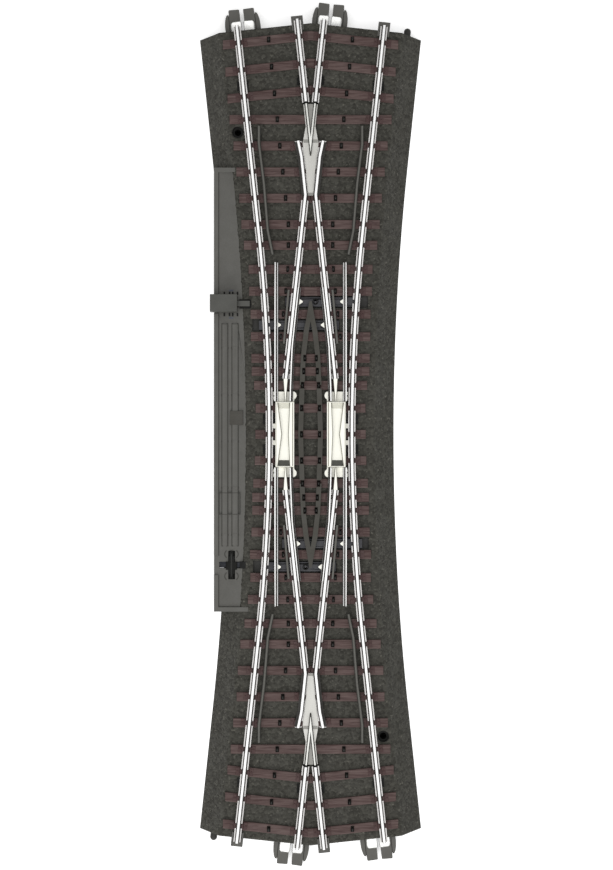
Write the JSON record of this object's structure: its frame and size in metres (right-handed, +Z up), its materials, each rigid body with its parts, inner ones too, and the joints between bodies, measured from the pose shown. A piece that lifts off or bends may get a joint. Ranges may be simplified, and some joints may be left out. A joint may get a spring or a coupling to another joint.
{
  "type": "model railway double slip turnout",
  "caption": "H0 double slip turnout on a moulded ballast roadbed with switch blades, tie bars, frogs, centre contact studs and a sliding hand lever.",
  "frame": {"origin": "where the two tracks' centre lines cross, on the plane that the roadbed stands on", "axes": "+Y along the turnout, halfway between its two tracks' directions; +X across it, away from the drive housing; +Z up"},
  "size_m": [0.0646, 0.2502, 0.0109],
  "materials": {
    "ballast": "stippled ballast stones",
    "deck_grey": "fine satin",
    "underside_black": "satin",
    "sleeper_brown": "moulded wood grain",
    "rail_steel": "polished running surface",
    "blade_steel": "polished running surface",
    "frog_metal": "satin cast metal",
    "crossing_nickel": "satin nickel casting",
    "check_grey": "satin",
    "guide_brown": "satin",
    "stud_metal": "blackened",
    "conductor_brass": "plain",
    "bar_black": "satin",
    "lever_grey": "satin",
    "linkage_plastic": "satin",
    "socket_black": "satin",
    "contact_tin": "bright tin plate",
    "pin_steel": "plain"
  },
  "bodies": {
    "bed": {"alignment_pegs": "underside_black", "blade_guards": "check_grey", "centre_conductor": "conductor_brass", "centre_guide": "guide_brown", "check_rail_ne": "check_grey", "check_rail_nw": "check_grey", "check_rail_se": "check_grey", "check_rail_sw": "check_grey", "contact_studs": "stud_metal", "cover_screws": "pin_steel", "crossing_east": "crossing_nickel", "crossing_west": "crossing_nickel", "detent_spring": "pin_steel", "drive_cover": "deck_grey", "end_rail_ne": "rail_steel", "end_rail_nw": "rail_steel", "end_rail_se": "rail_steel", "end_rail_sw": "rail_steel", "frog_nose_north": "frog_metal", "frog_nose_south": "frog_metal", "frog_plate_north": "frog_metal", "frog_plate_south": "frog_metal", "heel_pins": "pin_steel", "joiner_contacts": "contact_tin", "joint_tongues": "deck_grey", "lantern_socket": "socket_black", "mechanism_cover": "underside_black", "rail_insulators": "socket_black", "roadbed": "ballast", "rocker_posts": "pin_steel", "sleepers": "sleeper_brown", "stock_rail_east": "rail_steel", "stock_rail_west": "rail_steel", "track_clip_ne": "deck_grey", "track_clip_nw": "deck_grey", "track_clip_se": "deck_grey", "track_clip_sw": "deck_grey", "wing_rail_ne": "rail_steel", "wing_rail_nw": "rail_steel", "wing_rail_se": "rail_steel", "wing_rail_sw": "rail_steel"},
    "hand_lever": {"hand_lever": "lever_grey", "push_rod": "linkage_plastic"},
    "outer_tie_bar_north": {"outer_tie_bar_north": "bar_black"},
    "inner_tie_bar_north": {"inner_tie_bar_north": "bar_black"},
    "outer_tie_bar_south": {"outer_tie_bar_south": "bar_black", "drive_slider": "bar_black"},
    "inner_tie_bar_south": {"inner_tie_bar_south": "bar_black"},
    "rocker_north": {"rocker_north": "linkage_plastic"},
    "rocker_south": {"rocker_south": "linkage_plastic"},
    "coupling_rod": {"coupling_rod": "linkage_plastic"},
    "outer_blade_nw": {"outer_blade_nw": "blade_steel"},
    "inner_blade_nw": {"inner_blade_nw": "blade_steel"},
    "outer_blade_ne": {"outer_blade_ne": "blade_steel"},
    "inner_blade_ne": {"inner_blade_ne": "blade_steel"},
    "outer_blade_sw": {"outer_blade_sw": "blade_steel"},
    "inner_blade_sw": {"inner_blade_sw": "blade_steel"},
    "outer_blade_se": {"outer_blade_se": "blade_steel"},
    "inner_blade_se": {"inner_blade_se": "blade_steel"}
  },
  "joints": [
    {"name": "hand_lever_slide", "type": "slide", "parent": "bed", "child": "hand_lever", "axis": [1, 0, 0], "range_m": [0, 0.00226], "deforming": ["detent_spring"]},
    {"name": "outer_bar_north_slide", "type": "slide", "parent": "bed", "child": "outer_tie_bar_north", "axis": [1, 0, 0], "range_m": [0, 0.00227]},
    {"name": "inner_bar_north_slide", "type": "slide", "parent": "bed", "child": "inner_tie_bar_north", "axis": [-1, 0, 0], "range_m": [0, 0.0017]},
    {"name": "outer_bar_south_slide", "type": "slide", "parent": "bed", "child": "outer_tie_bar_south", "axis": [-1, 0, 0], "range_m": [0, 0.00227]},
    {"name": "inner_bar_south_slide", "type": "slide", "parent": "bed", "child": "inner_tie_bar_south", "axis": [1, 0, 0], "range_m": [0, 0.0017]},
    {"name": "rocker_north_pivot", "type": "hinge", "parent": "bed", "child": "rocker_north", "pos_m": [0.00256, 0.03436, 0.0036], "axis": [0, 0, -1], "range_deg": [0, 33.57]},
    {"name": "rocker_south_pivot", "type": "hinge", "parent": "bed", "child": "rocker_south", "pos_m": [-0.00256, -0.03436, 0.0036], "axis": [0, 0, -1], "range_deg": [0, 33.57]},
    {"name": "coupling_rod_pivot", "type": "hinge", "parent": "rocker_north", "child": "coupling_rod", "pos_m": [-0.00127, 0.03321, 0.00235], "axis": [0, 0, 1], "range_deg": [0, 33.57]},
    {"name": "outer_blade_nw_pivot", "type": "hinge", "parent": "bed", "child": "outer_blade_nw", "pos_m": [-0.00996, 0.01115, 0.0086], "axis": [0, 0, 1], "range_deg": [0, 4.81]},
    {"name": "inner_blade_nw_pivot", "type": "hinge", "parent": "bed", "child": "inner_blade_nw", "pos_m": [-0.0056, 0.01115, 0.0086], "axis": [0, 0, -1], "range_deg": [0, 4.81]},
    {"name": "outer_blade_ne_pivot", "type": "hinge", "parent": "bed", "child": "outer_blade_ne", "pos_m": [0.00996, 0.01115, 0.0086], "axis": [0, 0, -1], "range_deg": [0, 4.81]},
    {"name": "inner_blade_ne_pivot", "type": "hinge", "parent": "bed", "child": "inner_blade_ne", "pos_m": [0.0056, 0.01115, 0.0086], "axis": [0, 0, 1], "range_deg": [0, 4.81]},
    {"name": "outer_blade_sw_pivot", "type": "hinge", "parent": "bed", "child": "outer_blade_sw", "pos_m": [-0.00996, -0.01115, 0.0086], "axis": [0, 0, -1], "range_deg": [0, 4.81]},
    {"name": "inner_blade_sw_pivot", "type": "hinge", "parent": "bed", "child": "inner_blade_sw", "pos_m": [-0.0056, -0.01115, 0.0086], "axis": [0, 0, 1], "range_deg": [0, 4.81]},
    {"name": "outer_blade_se_pivot", "type": "hinge", "parent": "bed", "child": "outer_blade_se", "pos_m": [0.00996, -0.01115, 0.0086], "axis": [0, 0, 1], "range_deg": [0, 4.81]},
    {"name": "inner_blade_se_pivot", "type": "hinge", "parent": "bed", "child": "inner_blade_se", "pos_m": [0.0056, -0.01115, 0.0086], "axis": [0, 0, -1], "range_deg": [0, 4.81]}
  ],
  "couplings": [
    {"joint": "outer_bar_north_slide", "follows": "hand_lever_slide", "ratio": 1},
    {"joint": "inner_bar_north_slide", "follows": "hand_lever_slide", "ratio": 0.75231},
    {"joint": "outer_bar_south_slide", "follows": "hand_lever_slide", "ratio": 1},
    {"joint": "inner_bar_south_slide", "follows": "hand_lever_slide", "ratio": 0.75231},
    {"joint": "rocker_north_pivot", "follows": "hand_lever_slide", "rad_per_m": 258.72},
    {"joint": "rocker_south_pivot", "follows": "hand_lever_slide", "rad_per_m": 258.72},
    {"joint": "coupling_rod_pivot", "follows": "hand_lever_slide", "rad_per_m": 258.72},
    {"joint": "outer_blade_nw_pivot", "follows": "hand_lever_slide", "rad_per_m": 37.012},
    {"joint": "inner_blade_nw_pivot", "follows": "hand_lever_slide", "rad_per_m": 37.012},
    {"joint": "outer_blade_ne_pivot", "follows": "hand_lever_slide", "rad_per_m": 37.012},
    {"joint": "inner_blade_ne_pivot", "follows": "hand_lever_slide", "rad_per_m": 37.012},
    {"joint": "outer_blade_sw_pivot", "follows": "hand_lever_slide", "rad_per_m": 37.012},
    {"joint": "inner_blade_sw_pivot", "follows": "hand_lever_slide", "rad_per_m": 37.012},
    {"joint": "outer_blade_se_pivot", "follows": "hand_lever_slide", "rad_per_m": 37.012},
    {"joint": "inner_blade_se_pivot", "follows": "hand_lever_slide", "rad_per_m": 37.012}
  ]
}
